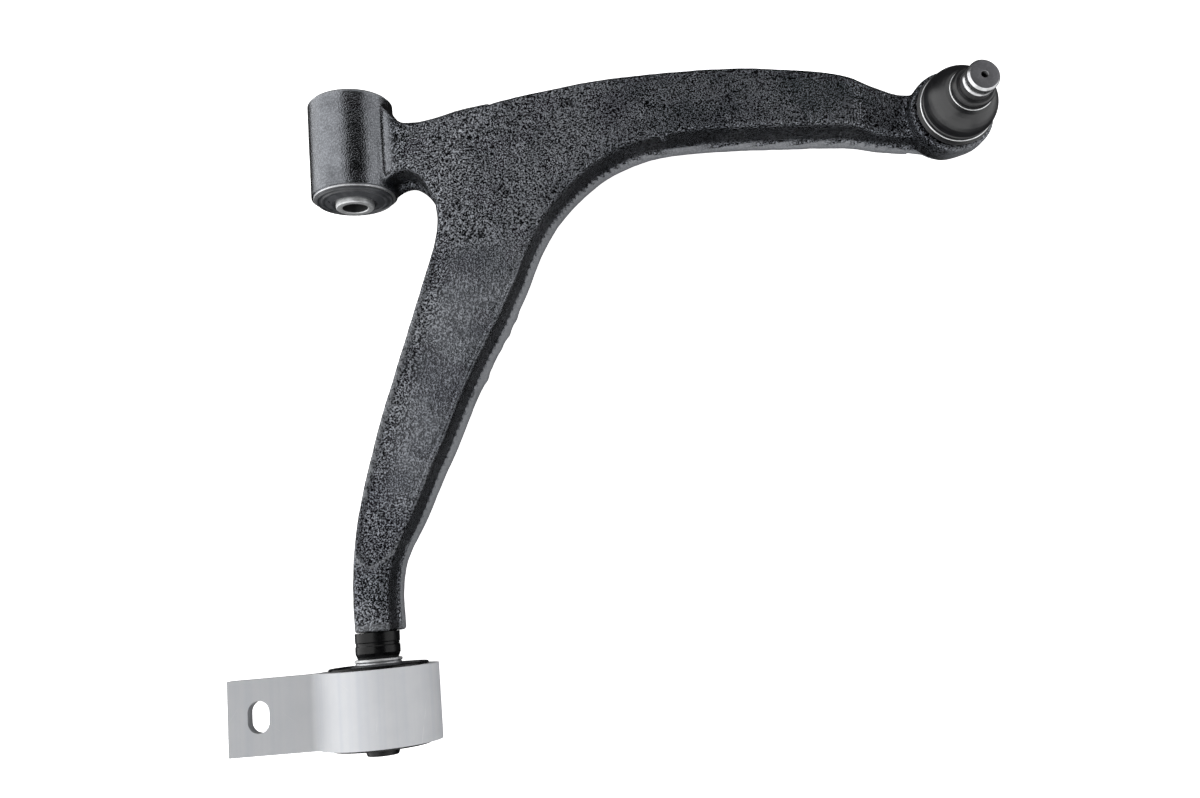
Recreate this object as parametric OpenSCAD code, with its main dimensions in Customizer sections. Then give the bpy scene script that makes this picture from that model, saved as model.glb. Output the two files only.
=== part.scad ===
// Front suspension control arm: cast L-shaped arm, front bush in an eye,
// ball joint with clamped stud, rear bush in an extruded bracket.
// +Y runs along the pivot axis (towards the front bush), +X towards the
// ball joint, +Z towards the stud. Origin: centre of the front bush.

/* [Front bush] */
// outside diameter of the cast eye
eye_d = 50; // [48:0.5:54]
// length of the cast eye along the pivot axis
eye_l = 58; // [54:1:62]
// outside diameter of the pressed-in steel sleeve
front_sleeve_d = 42; // [41:0.5:43]
// outside diameter of the inner sleeve
front_core_d = 22.4; // [21:0.2:24]
// bolt hole of the inner sleeve
front_bolt_d = 14.4; // [12.4:0.2:16]
// how far the inner sleeve stands out at each end of the eye
front_core_out = 6.5; // [5:0.5:9]

/* [Rear bush] */
// distance from the front bush centre to the rear bush centre
rear_dist = 320; // [318:1:323]
// outside diameter of the bracket ring
ring_d = 65; // [62:1:70]
// bore of the bracket ring
ring_bore_d = 54; // [53:0.5:55]
// length of the bracket along the pivot axis
bracket_l = 40; // [36:1:42]
// distance from the pivot axis to the end of the mounting wing
wing_reach = 80; // [76:1:90]
// height of the wing's upper face above the pivot axis
wing_top = 13.5; // [12:0.5:15]
// thickness of the wing
wing_t = 7; // [6:0.5:9]
// width of the mounting slot
slot_w = 12; // [10:0.5:13]
// end to end length of the mounting slot
slot_l = 17; // [15:0.5:22]
// distance from the pivot axis to the slot centre
slot_x = 63; // [60:0.5:66]
// diameter of the pin that carries the rear bush
pin_d = 20; // [18:0.5:21]

/* [Ball joint] */
// diameter of the ball
ball_d = 23; // [22:0.2:23]
// diameter of the clamped shank
stud_d = 18; // [17:0.5:18]
// height of the stud's end above the ball centre
stud_h = 52; // [51:0.5:56]
// diameter of the stud's neck
neck_d = 13; // [11:0.5:13]
// outward lean of the ball joint axis
lean = 9; // [7:0.5:11]

/* [Arm casting] */
// height of the upper face above the pivot axis
arm_top = 15; // [14:0.5:16]
// depth of the lower face below the pivot axis
arm_low = 16; // [15:0.5:17]

/* [Hidden] */
$fn = 96;
er = eye_d / 2;
eh = eye_l / 2;
jx = 346; jy = -23; jz = 3;
br = ball_d / 2;
race_gap = 0.05;
race_r = 14.3;
cart_r = 16.6;
twist_gap = 0.05;
ry = -rear_dist;
rb = ring_bore_d / 2;
hb = bracket_l / 2;
cast = [0.10, 0.10, 0.11];
steel = [0.72, 0.73, 0.75];
dark_steel = [0.16, 0.16, 0.17];
rubber = [0.05, 0.05, 0.055];
alu = [0.80, 0.82, 0.84];
polymer = [0.86, 0.85, 0.80];

// stations of the main beam: outer edge x, y, inner edge x, y, top, bottom
beam = [
    [332, -5, 332, -38.5, 8, -12],
    [320, -3, 321, -36.5, 7, -13],
    [309, 2, 310, -34, 7.5, -14],
    [301, 6, 302, -31.5, 9, -15],
    [294, 8, 296, -29.5, 13, -15.5],
    [284, 11, 286, -27.5, 15, -16],
    [270, 14.5, 272, -26, 15, -16],
    [254, 17.5, 256, -24.5, 15, -16],
    [236, 20.5, 240, -23, 15, -16],
    [216, 22.5, 222, -21.5, 15, -16],
    [196, 23.5, 204, -20.5, 15, -16],
    [176, 24, 188, -20.5, 15, -16],
    [156, 24, 174, -22, 15, -16],
    [136, 23, 161, -25.5, 15, -16],
    [116, 21, 149, -30.5, 15, -16],
    [98, 19, 139, -37, 15, -16],
    [80, 15.5, 131, -43, 15, -16],
    [66, 6, 124, -49.5, 15, -16],
    [55, -9, 117.5, -56.5, 15, -16],
    [49, -26, 111.5, -65, 15, -16],
    [47.5, -39, 106, -74.5, 15, -16],
    [48, -50, 101.5, -83.5, 15, -16],
    [46, -62, 97, -93.5, 15, -16],
    [42, -74, 91, -104.5, 15, -16],
    [37.5, -86, 85.5, -115, 15, -16],
    [33, -98, 79.5, -124.5, 15, -16],
    [28.5, -110, 73.5, -134.5, 15, -16],
    [24, -122, 68, -144.5, 15, -16],
    [19.5, -134, 62.5, -154.5, 15, -16],
    [15, -146, 57.5, -164.5, 15, -16],
    [11, -157, 53, -174, 15, -16],
    [7, -168, 48.5, -183.5, 15, -15.5],
    [3.5, -179, 43.5, -192.5, 15, -15.5],
    [0, -190, 39, -201.5, 14.5, -15],
    [-3, -200, 34.5, -210.5, 14.5, -15],
    [-6, -211, 30, -219.5, 14, -15],
    [-8.5, -221, 25.5, -227.5, 14, -14.5],
    [-10.5, -232, 20.5, -236, 13.5, -14],
    [-12, -243, 16.5, -245, 13, -13.5],
    [-12.8, -256, 14.2, -257, 13, -13],
    [-13, -270, 13.8, -270, 13, -13],
    [-13, -281, 14, -281, 13, -13]];

// stations of the neck to the front eye
neck = [
    [21, 27, 21, -28.5, 13, -13],
    [25, 23, 25, -26, 13.4, -13.6],
    [28.5, 17, 28.5, -24, 13.7, -14],
    [33, 12.8, 33, -23.4, 14, -14.4],
    [37.5, 11.5, 37.5, -25, 14.2, -14.8],
    [42, 11, 42, -29, 14.3, -15],
    [46, 10.8, 46, -35.5, 14.4, -15.1],
    [49.5, 11, 49.5, -43, 14.5, -15.2],
    [58, 11.8, 58, -47, 14.6, -15.3],
    [70, 13.6, 76, -44, 14.6, -15.4],
    [82, 15.8, 98, -34, 14.6, -15.4]];

// side wall of the casting: inset from the edge, share of the height
side = [[3.2, 0], [0.8, 0.9], [0, 3], [0, 8], [1.4, 9.8]];
crown = [[1.9, 8], [2.7, 4.2], [4.6, 1.6], [7.4, 0.3], [10.5, 0]];

function fit_z(s) = [arm_top / 15 * s[4], arm_low / 16 * s[5]];
function ring_pts(s) =
    let (w = norm([s[2] - s[0], s[3] - s[1]]),
         ux = (s[2] - s[0]) / w, uy = (s[3] - s[1]) / w, z = fit_z(s),
         one = concat([for (p = side) [p[0], z[1] + p[1]]],
                      [for (p = crown) [p[0], z[0] - p[1]]]))
    concat([for (p = one) [s[0] + ux * p[0], s[1] + uy * p[0], p[1]]],
           [for (i = [len(one) - 1:-1:0])
               [s[2] - ux * one[i][0], s[3] - uy * one[i][0], one[i][1]]]);

module skin(stations) {
    n = 2 * (len(side) + len(crown));
    m = len(stations);
    polyhedron(
        points = [for (s = stations) each ring_pts(s)],
        faces = concat(
            [[for (i = [0:n - 1]) i]],
            [for (k = [0:m - 2], i = [0:n - 1])
                let (j = (i + 1) % n) each [
                    [k * n + i, (k + 1) * n + i, (k + 1) * n + j],
                    [k * n + i, (k + 1) * n + j, k * n + j]]],
            [[for (i = [n - 1:-1:0]) (m - 1) * n + i]]),
        convexity = 6);
}

// turns a profile about the pivot axis; profile y becomes position along +Y
module about_y() {
    rotate([-90, 0, 0]) rotate_extrude() children();
}

// frame at the ball centre, z along the ball joint axis
module at_ball() {
    translate([jx, jy, jz]) rotate([0, lean, 0]) children();
}

module arm_body() {
    color(cast) difference() {
        union() {
            skin([for (i = [len(beam) - 1:-1:0]) beam[i]]);
            skin(neck);
            // front eye
            about_y() polygon([[0, -eh], [er - 0.8, -eh], [er, -eh + 0.8],
                [er, eh - 1.5], [er - 1.5, eh], [0, eh]]);
            // ball joint boss
            at_ball() rotate_extrude() polygon([[0, -15], [18.6, -15],
                [20, -13.8], [23.6, -1], [24, 1], [24, 7.6], [22.8, 9],
                [22, 9.3], [0, 9.3]]);
        }
        about_y() polygon([[0, -eh - 1], [front_sleeve_d / 2, -eh - 1],
            [front_sleeve_d / 2, eh + 1], [0, eh + 1]]);
        at_ball() translate([0, 0, -20]) cylinder(r = cart_r, h = 40);
        at_ball() translate([0, 0, -22]) cylinder(r = 18.4, h = 6.9);
        // socket for the rear pin
        translate([0, -250, 0]) rotate([90, 0, 0])
            cylinder(d = 14, h = 40);
    }
}

module rear_pin() {
    color(dark_steel) about_y() polygon([
        [0, -250], [0, ry - 26], [pin_d / 2 - 1.6, ry - 26],
        [pin_d / 2, ry - 21.5], [pin_d / 2, -295.2], [11, -295.2],
        [12.2, -292], [12.2, -288.5], [11.8, -288], [11.8, -286.5],
        [12.2, -286], [12.2, -281], [7, -281],
        [7, -252], [6, -250]]);
}

module rear_thrust_washer() {
    color(steel) about_y() polygon([[pin_d / 2, -295.2], [12.6, -295.2],
        [13, -295.6], [13, -296.4], [12.6, -296.8], [pin_d / 2, -296.8]]);
}

module front_bush_outer_sleeve() {
    r = front_sleeve_d / 2;
    color(steel) about_y() polygon([[r - 1.5, -eh - 0.2], [r - 0.9, -eh - 1.2],
        [er - 1.5, -eh - 1.2], [er - 1.2, -eh - 0.9], [er - 1.2, -eh],
        [r, -eh], [r, eh - 1.2], [r - 0.6, eh - 0.6], [r - 1.5, eh - 0.6]]);
}

module front_bush_rubber() {
    r = front_sleeve_d / 2 - 1.5;
    c = front_core_d / 2 + twist_gap;
    color(rubber) difference() {
        about_y() polygon([
            [r, -eh - 0.2], [r + 0.6, -eh - 1.2], [r + 2.6, -eh - 1.2],
            [r + 2.8, -eh - 2], [r + 2, -eh - 2.6], [r + 1.2, -eh - 1.9],
            [r + 0.4, -eh - 2.1], [r - 0.4, -eh - 3], [r - 1.4, -eh - 3.1],
            [r - 2, -eh - 2.6], [c + 2.4, -eh - 4.2], [c + 1.6, -eh - 4],
            [c + 1.2, -eh - 2.4], [c, -eh - 2],
            [c, eh + 2], [c + 1.4, eh + 1.6], [r - 3, eh - 2.5],
            [r, eh - 1.6]]);
        // three small moulding pits in the outer face
        for (a = [45, 120, 210]) rotate([0, a, 0])
            translate([c + 3.6, -eh - 2.4, 0]) rotate([90, 0, 0])
                cylinder(r = 0.9, h = 4, $fn = 24);
    }
}

module front_bush_inner_sleeve() {
    e = eh + front_core_out;
    color(steel) about_y() polygon([
        [front_bolt_d / 2, -e + 0.6], [front_bolt_d / 2 + 0.6, -e],
        [front_core_d / 2 - 0.6, -e], [front_core_d / 2, -e + 0.6],
        [front_core_d / 2, e - 0.6], [front_core_d / 2 - 0.6, e],
        [front_bolt_d / 2 + 0.6, e], [front_bolt_d / 2, e - 0.6]]);
}

module ball_joint_housing() {
    color(dark_steel) at_ball() rotate_extrude() polygon([
        [race_r, -15.6], [race_r, 8.4], [11.4, 8.4], [14.4, 15.3],
        [17.4, 15.3], [18, 14.7], [18, 11], [20.5, 11], [20.5, 9.5],
        [20.3, 9.3], [cart_r, 9.3], [cart_r, -15.4], [16, -15.4],
        [16, -16.8], [cart_r, -16.8], [cart_r, -17.6], [16.2, -18],
        [13.2, -18], [13.2, -15.6]]);
}

module ball_race_upper() {
    color(polymer) at_ball() difference() {
        rotate_extrude() polygon([[0, 0.15], [race_r, 0.15], [race_r, 8.4],
            [11.2, 8.4], [9.85, 6.05], [0, 6.05]]);
        sphere(r = br + race_gap);
    }
}

module ball_race_lower() {
    color(polymer) at_ball() difference() {
        translate([0, 0, -12.4]) cylinder(r = race_r, h = 12.3);
        sphere(r = br + race_gap);
        translate([0, 0, -14]) cylinder(r = 5, h = 6);
    }
}

module ball_race_spring() {
    color(steel) at_ball() rotate_extrude() polygon([[7.5, -12.4],
        [8.6, -12.4], [13.9, -13.2], [13.9, -14], [13.2, -14], [7.5, -13.2]]);
}

module ball_joint_cover() {
    color(dark_steel) at_ball() rotate_extrude() polygon([[0, -14],
        [race_r, -14], [race_r, -15.6], [10, -15.6], [8, -17], [0, -17]]);
}

module ball_joint_snap_ring() {
    color(steel) at_ball() difference() {
        translate([0, 0, -16.8]) cylinder(r = 17.8, h = 1.3);
        translate([0, 0, -17.8]) cylinder(r = 16, h = 4);
        translate([0, -2, -18]) cube([30, 4, 4]);
    }
}

module ball_stud() {
    r = stud_d / 2; n = neck_d / 2; t = stud_h;
    color(steel) at_ball() difference() {
        union() {
            sphere(r = br);
            rotate_extrude() polygon([[0, 0], [n, 0], [n, 18],
                [n + 0.6, 19.6], [r - 0.8, 24], [r - 0.2, 25.2],
                [r - 0.2, 40.2], [r, 40.2], [r, t - 1], [r - 1, t], [0, t]]);
        }
        // flat on the underside of the ball
        translate([-20, -20, -20]) cube([40, 40, 9.2]);
        // groove for the clamp bolt
        rotate_extrude() translate([r + 2.9, t - 5, 0]) circle(r = 4, $fn = 64);
        // turning centre in the end face
        translate([0, 0, t - 3.6]) cylinder(r = 1.1, h = 5, $fn = 32);
        translate([0, 0, t - 1.4]) cylinder(r1 = 1.1, r2 = 2.1, h = 1.4,
            $fn = 32);
    }
}

module boot() {
    r = stud_d / 2 - 0.05;
    color(rubber) at_ball() rotate_extrude() polygon([
        [18.3, 11.3], [21.9, 11.3], [22, 12.2], [20.2, 13.2], [19.8, 13.7],
        [19.8, 15.3], [20.7, 15.6], [20.7, 17.2], [20.1, 17.8],
        [20.5, 19.6], [20.4, 21.6], [19.9, 23.6], [18.9, 26], [17.4, 28.4],
        [15.6, 30.6], [13.6, 32.6], [11.8, 33.6], [11.2, 34],
        [11.2, 35], [12, 35.5], [12, 37.6], [11.4, 39.2], [10.6, 40],
        [r, 40], [r, 34.4], [10.6, 32.6], [12.6, 31],
        [14.6, 29], [16.4, 26.6], [17.8, 23.8], [18.4, 21.2],
        [18.6, 18.4], [18.6, 15.6], [18.3, 15.3]]);
}

module boot_lower_ring() {
    color(steel) at_ball() rotate_extrude() translate([20.48, 14.5, 0])
        circle(r = 0.62, $fn = 32);
}

module boot_upper_ring() {
    color(steel) at_ball() rotate_extrude() translate([11.8, 34.45, 0])
        circle(r = 0.52, $fn = 32);
}

function arc(cx, cy, r, a0, a1, n = 12) =
    [for (i = [0:n]) let (a = a0 + (a1 - a0) * i / n)
        [cx + r * cos(a), cy + r * sin(a)]];

module wing_section() {
    R = ring_d / 2;
    f = 8;
    wl = wing_top - wing_t;
    up = wing_top + f;
    lo = wl - f;
    xu = sqrt((R + f) * (R + f) - up * up);
    xl = sqrt((R + f) * (R + f) - lo * lo);
    polygon(concat([[-wing_reach, wl], [-wing_reach, wing_top]],
        arc(-xu, up, f, -90, -atan2(up, xu) - 2),
        [[-R + 5, wing_top - 1], [-R + 5, lo]],
        arc(-xl, lo, f, atan2(-lo, xl) + 2, 90)));
}

module rear_bracket() {
    color(alu) difference() {
        translate([0, ry + hb, 0]) rotate([90, 0, 0]) union() {
            cylinder(d = ring_d, h = bracket_l);
            linear_extrude(bracket_l) wing_section();
        }
        translate([0, ry + hb + 1, 0]) rotate([90, 0, 0])
            cylinder(r = rb, h = bracket_l + 2);
        for (s = [-1, 1])
            translate([-slot_x, ry + s * (slot_l - slot_w) / 2, 0])
                cylinder(d = slot_w, h = 40);
        translate([-slot_x - slot_w / 2, ry - (slot_l - slot_w) / 2, 0])
            cube([slot_w, slot_l - slot_w, 40]);
    }
}

module rear_bush_outer_sleeve() {
    e = hb + 1.5;
    color(dark_steel) translate([0, ry, 0]) about_y() polygon([
        [rb - 1.8, -e], [rb - 0.6, -e], [rb, -e + 0.8],
        [rb, e - 0.5], [rb - 0.5, e], [rb - 1.3, e], [rb - 1.8, e - 0.5]]);
}

// kidney-shaped void through the rubber, on the +X side
module kidney() {
    rotate([90, 0, 0]) {
        intersection() {
            difference() {
                cylinder(r = rb - 4, h = 60, center = true);
                cylinder(r = 15.6, h = 62, center = true);
            }
            linear_extrude(62, center = true)
                polygon([[0, 0], [40, -30], [40, 30]]);
        }
    }
}

module rear_bush_rubber() {
    c = 12.5 + twist_gap;
    color(rubber) translate([0, ry, 0]) difference() {
        about_y() polygon([
            [c, -22], [13.4, -22.4], [14.6, -21.6], [16, -18.5], [21, -18.5],
            [rb - 2.6, -20.4], [rb - 1.8, -20.4], [rb - 1.8, 19.8],
            [rb - 2.4, 20.2], [rb - 3.4, 20.2], [21, 18], [16.4, 18],
            [14.8, 21.2], [13.6, 22], [c, 22.2]]);
        kidney();
        mirror([1, 0, 0]) kidney();
    }
}

module rear_bush_inner_sleeve() {
    p = pin_d / 2;
    color(steel) translate([0, ry, 0]) about_y() polygon([
        [p, -22.6], [p + 0.4, -23], [12, -23], [12.5, -22.5],
        [12.5, 22.7], [12, 23.2], [p, 23.2]]);
}

arm_body();
rear_pin();
rear_thrust_washer();
front_bush_outer_sleeve();
front_bush_rubber();
front_bush_inner_sleeve();
ball_joint_housing();
ball_race_upper();
ball_race_lower();
ball_race_spring();
ball_joint_cover();
ball_joint_snap_ring();
ball_stud();
boot();
boot_lower_ring();
boot_upper_ring();
rear_bracket();
rear_bush_outer_sleeve();
rear_bush_rubber();
rear_bush_inner_sleeve();
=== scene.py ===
import math
import bpy
import bmesh
from mathutils import Vector, Matrix, noise


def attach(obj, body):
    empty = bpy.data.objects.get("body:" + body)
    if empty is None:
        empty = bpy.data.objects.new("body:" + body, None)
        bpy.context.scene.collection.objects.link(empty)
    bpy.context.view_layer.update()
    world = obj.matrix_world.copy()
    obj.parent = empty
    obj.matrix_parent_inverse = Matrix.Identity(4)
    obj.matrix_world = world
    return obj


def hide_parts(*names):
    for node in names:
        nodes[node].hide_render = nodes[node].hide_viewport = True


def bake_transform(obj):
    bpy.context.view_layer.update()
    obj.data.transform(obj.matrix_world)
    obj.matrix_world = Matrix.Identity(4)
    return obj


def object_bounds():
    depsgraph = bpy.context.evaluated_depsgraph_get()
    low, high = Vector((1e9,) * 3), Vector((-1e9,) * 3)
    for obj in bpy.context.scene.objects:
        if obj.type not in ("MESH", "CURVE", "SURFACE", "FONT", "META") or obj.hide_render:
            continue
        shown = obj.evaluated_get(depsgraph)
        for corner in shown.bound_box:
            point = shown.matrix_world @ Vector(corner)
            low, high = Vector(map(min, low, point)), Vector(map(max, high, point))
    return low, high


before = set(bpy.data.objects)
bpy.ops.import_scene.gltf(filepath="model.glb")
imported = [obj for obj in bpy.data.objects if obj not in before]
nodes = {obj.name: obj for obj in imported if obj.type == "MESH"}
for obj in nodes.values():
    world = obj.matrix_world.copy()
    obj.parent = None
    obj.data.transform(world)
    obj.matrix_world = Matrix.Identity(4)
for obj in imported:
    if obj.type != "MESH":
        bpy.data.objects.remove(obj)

MM = 0.001
cad_box = [list(v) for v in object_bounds()]
scene = bpy.context.scene
scene.view_settings.view_transform = "Standard"

# ---------------------------------------------------------------- frames
JC = Vector((346, -23, 3)) * MM          # ball centre
LEAN = math.radians(9)
M_BALL = Matrix.Translation(JC) @ Matrix.Rotation(LEAN, 4, "Y")
M_Y = Matrix.Rotation(math.radians(-90), 4, "X")
RY = -320.0
M_REAR = Matrix.Translation(Vector((0, RY, 0)) * MM) @ M_Y


# ---------------------------------------------------------------- helpers
def link(o):
    scene.collection.objects.link(o)
    return o


def new_mesh(name, verts, faces):
    me = bpy.data.meshes.new(name)
    me.from_pydata([tuple(v) for v in verts], [], faces)
    me.validate()
    me.update()
    return link(bpy.data.objects.new(name, me))


def smooth(o, angle=32):
    me = o.data
    me.polygons.foreach_set("use_smooth", [True] * len(me.polygons))
    me.set_sharp_from_angle(angle=math.radians(angle))
    me.update()


def rounded(prof, default=0.25):
    """Rounds each corner of a closed (r, h[, radius]) loop with a small arc."""
    out = []
    n = len(prof)
    for i in range(n):
        p = Vector(prof[i][:2])
        a = Vector(prof[i - 1][:2])
        b = Vector(prof[(i + 1) % n][:2])
        rad = prof[i][2] if len(prof[i]) > 2 else default
        la, lb = (a - p).length, (b - p).length
        if rad <= 0 or p[0] < 1e-6 or la < 1e-6 or lb < 1e-6:
            out.append(tuple(p))
            continue
        ua, ub = (a - p) / la, (b - p) / lb
        dot = max(-1.0, min(1.0, ua.dot(ub)))
        ang = math.acos(dot)
        if ang > math.radians(176):
            out.append(tuple(p))
            continue
        cut = min(rad / math.tan(ang / 2), la * 0.45, lb * 0.45)
        k = max(2, min(8, int((math.pi - ang) / 0.25)))
        p0, p1 = p + ua * cut, p + ub * cut
        for j in range(k + 1):
            t = j / k
            q = p0.lerp(p, t).lerp(p.lerp(p1, t), t)
            out.append((max(q[0], 0.0), q[1]))
    return out


def lathe(name, prof, M, seg=144, rad=0.25, wob=None):
    pts = rounded(prof, rad)
    verts, rings = [], []
    for r, h in pts:
        if r < 1e-5:
            rings.append([len(verts)])
            verts.append(Vector((0, 0, h)) * MM)
        else:
            ids = []
            for k in range(seg):
                a = 2 * math.pi * k / seg
                rr, hh = r, h
                if wob:
                    rr, hh = wob(r, h, a)
                ids.append(len(verts))
                verts.append(Vector((rr * math.cos(a), rr * math.sin(a), hh)) * MM)
            rings.append(ids)
    faces = []
    n = len(rings)
    for i in range(n):
        A, B = rings[i], rings[(i + 1) % n]
        if len(A) == 1 and len(B) == 1:
            continue
        for k in range(seg):
            j = (k + 1) % seg
            if len(A) == 1:
                faces.append((A[0], B[k], B[j]))
            elif len(B) == 1:
                faces.append((A[k], B[0], A[j]))
            else:
                faces.append((A[k], B[k], B[j], A[j]))
    o = new_mesh(name, [M @ v for v in verts], faces)
    bm = bmesh.new()
    bm.from_mesh(o.data)
    bmesh.ops.recalc_face_normals(bm, faces=bm.faces)
    bm.to_mesh(o.data)
    bm.free()
    smooth(o)
    return o


def torus(name, R, r, h, M, seg=160, ring=20, gap=0.0):
    return lathe(name, [(R + r * math.cos(2 * math.pi * i / ring),
                         h + r * math.sin(2 * math.pi * i / ring), 0) for i in range(ring)], M, seg)


def apply_mods(o):
    dg = bpy.context.evaluated_depsgraph_get()
    me = bpy.data.meshes.new_from_object(o.evaluated_get(dg))
    old = o.data
    o.modifiers.clear()
    o.data = me
    bpy.data.meshes.remove(old)


def cut(o, cutter, op="DIFFERENCE"):
    m = o.modifiers.new("cut", "BOOLEAN")
    m.object = cutter
    m.operation = op
    m.solver = "MANIFOLD"
    bpy.context.view_layer.update()
    apply_mods(o)
    me = cutter.data
    bpy.data.objects.remove(cutter)
    bpy.data.meshes.remove(me)


def catmull(rows, n):
    out = []
    m = len(rows)
    for i in range(m - 1):
        p0, p1 = rows[max(i - 1, 0)], rows[i]
        p2, p3 = rows[i + 1], rows[min(i + 2, m - 1)]
        for j in range(n):
            t = j / n
            out.append([0.5 * ((2 * b) + (-a + c) * t + (2 * a - 5 * b + 4 * c - d) * t * t
                               + (-a + 3 * b - 3 * c + d) * t ** 3)
                        for a, b, c, d in zip(p0, p1, p2, p3)])
    out.append(list(rows[-1]))
    return out


def sstep(a, b, x):
    t = max(0.0, min(1.0, (x - a) / (b - a)))
    return t * t * (3 - 2 * t)


# ---------------------------------------------------------------- casting
BEAM = [
    (336, -6, 336, -39, 8, -11),
    (332, -5, 332, -38.5, 8, -12), (320, -3, 321, -36.5, 7, -13), (309, 2, 310, -34, 7.5, -14),
    (301, 6, 302, -31.5, 9, -15), (294, 8, 296, -29.5, 13, -15.5), (284, 11, 286, -27.5, 15, -16),
    (270, 14.5, 272, -26, 15, -16), (254, 17.5, 256, -24.5, 15, -16), (236, 20.5, 240, -23, 15, -16),
    (216, 22.5, 222, -21.5, 15, -16), (196, 23.5, 204, -20.5, 15, -16), (176, 24, 188, -20.5, 15, -16),
    (156, 24, 174, -22, 15, -16), (136, 23, 161, -25.5, 15, -16), (116, 21, 149, -30.5, 15, -16),
    (98, 19, 139, -37, 15, -16), (80, 15.5, 131, -43, 15, -16), (66, 6, 124, -49.5, 15, -16),
    (55, -9, 117.5, -56.5, 15, -16), (49, -26, 111.5, -65, 15, -16), (47.5, -39, 106, -74.5, 15, -16),
    (48, -50, 101.5, -83.5, 15, -16), (46, -62, 97, -93.5, 15, -16), (42, -74, 91, -104.5, 15, -16),
    (37.5, -86, 85.5, -115, 15, -16), (33, -98, 79.5, -124.5, 15, -16), (28.5, -110, 73.5, -134.5, 15, -16),
    (24, -122, 68, -144.5, 15, -16), (19.5, -134, 62.5, -154.5, 15, -16), (15, -146, 57.5, -164.5, 15, -16),
    (11, -157, 53, -174, 15, -16), (7, -168, 48.5, -183.5, 15, -15.5), (3.5, -179, 43.5, -192.5, 15, -15.5),
    (0, -190, 39, -201.5, 14.5, -15), (-3, -200, 34.5, -210.5, 14.5, -15), (-6, -211, 30, -219.5, 14, -15),
    (-8.5, -221, 25.5, -227.5, 14, -14.5), (-10.5, -232, 20.5, -236, 13.5, -14), (-12, -243, 16.5, -245, 13, -13.5),
    (-12.8, -256, 14.2, -257, 13, -13), (-13, -270, 13.8, -270, 13, -13), (-13, -280.9, 14, -280.9, 13, -13)]
NECK = [
    (14, 27, 14, -28.5, 13, -13), (21, 27, 21, -28.5, 13, -13), (25, 23, 25, -26, 13.4, -13.6), (28.5, 17.5, 28.5, -24, 13.7, -14),
    (33, 13.4, 33, -23.4, 14, -14.4), (37.5, 12.4, 37.5, -25, 14.2, -14.8), (42, 12.2, 42, -29, 14.3, -15),
    (46, 12.4, 46, -35.5, 14.4, -15.1), (49.5, 12.9, 49.5, -43, 14.5, -15.2), (58, 14.4, 58, -47, 14.6, -15.3),
    (70, 16.6, 76, -44, 14.6, -15.4), (84, 18.2, 98, -34, 14.6, -15.4)]
LOW = [(4.5, 0), (1.6, 0.25), (0.35, 1.3), (0.0, 2.6), (0.1, 5.0), (0.8, 6.4), (2.0, 7.8), (3.1, 9.4)]
HIGH = [(3.2, 8.0), (3.2, 4.4), (3.6, 2.4), (4.7, 0.8), (6.4, 0.1), (9.0, 0.0), (11.5, 0.0)]


def section(s):
    O, I = Vector(s[0:2]), Vector(s[2:4])
    w = (I - O).length
    u = (I - O) / w
    k = min(1.0, w / 26.0)
    half = [(e * k, s[5] + h) for e, h in LOW] + [(e * k, s[4] - h) for e, h in HIGH]
    pts = [(O[0] + u[0] * e, O[1] + u[1] * e, z) for e, z in half]
    pts += [(I[0] - u[0] * e, I[1] - u[1] * e, z) for e, z in reversed(half)]
    return pts


def loft(stations, sub):
    rows = catmull([list(s) for s in stations], sub)
    verts, faces = [], []
    for s in rows:
        verts += section(s)
    n = len(verts) // len(rows)
    for k in range(len(rows) - 1):
        for i in range(n):
            j = (i + 1) % n
            faces.append((k * n + i, (k + 1) * n + i, (k + 1) * n + j, k * n + j))
    faces.append(tuple(range(n)))
    faces.append(tuple(range((len(rows) - 1) * n, len(rows) * n))[::-1])
    return verts, faces


def solid_from(name, parts):
    bm = bmesh.new()
    for verts, faces, M in parts:
        sub = bmesh.new()
        vs = [sub.verts.new(M @ (Vector(v) * MM)) for v in verts]
        for f in faces:
            sub.faces.new([vs[i] for i in f])
        bmesh.ops.recalc_face_normals(sub, faces=sub.faces)
        if sub.calc_volume(signed=True) < 0:
            bmesh.ops.reverse_faces(sub, faces=sub.faces)
        bmesh.ops.triangulate(sub, faces=[f for f in sub.faces if len(f.verts) > 4])
        tmp = bpy.data.meshes.new("tmp")
        sub.to_mesh(tmp)
        sub.free()
        bm.from_mesh(tmp)
        bpy.data.meshes.remove(tmp)
    me = bpy.data.meshes.new(name)
    bm.to_mesh(me)
    bm.free()
    return link(bpy.data.objects.new(name, me))


def turned(prof, seg=96):
    """Verts and faces of a turned solid, profile from axis to axis."""
    verts, rings = [], []
    for r, h in prof:
        if r < 1e-6:
            rings.append([len(verts)])
            verts.append((0, 0, h))
        else:
            rings.append(list(range(len(verts), len(verts) + seg)))
            verts += [(r * math.cos(2 * math.pi * k / seg), r * math.sin(2 * math.pi * k / seg), h)
                      for k in range(seg)]
    faces = []
    for A, B in zip(rings, rings[1:]):
        for k in range(seg):
            j = (k + 1) % seg
            if len(A) == 1:
                faces.append((A[0], B[k], B[j]))
            elif len(B) == 1:
                faces.append((A[k], B[0], A[j]))
            else:
                faces.append((A[k], B[k], B[j], A[j]))
    return verts, faces


def box_part(lo, hi, taper=0.0):
    x0, y0, z0 = lo
    x1, y1, z1 = hi
    t = taper
    v = [(x0, y0, z0), (x1, y0, z0), (x1, y1, z0), (x0, y1, z0),
         (x0 + t, y0 + t, z1), (x1 - t, y0 + t, z1), (x1 - t, y1 - t, z1), (x0 + t, y1 - t, z1)]
    f = [(0, 3, 2, 1), (4, 5, 6, 7), (0, 1, 5, 4), (1, 2, 6, 5), (2, 3, 7, 6), (3, 0, 4, 7)]
    return v, f


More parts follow.
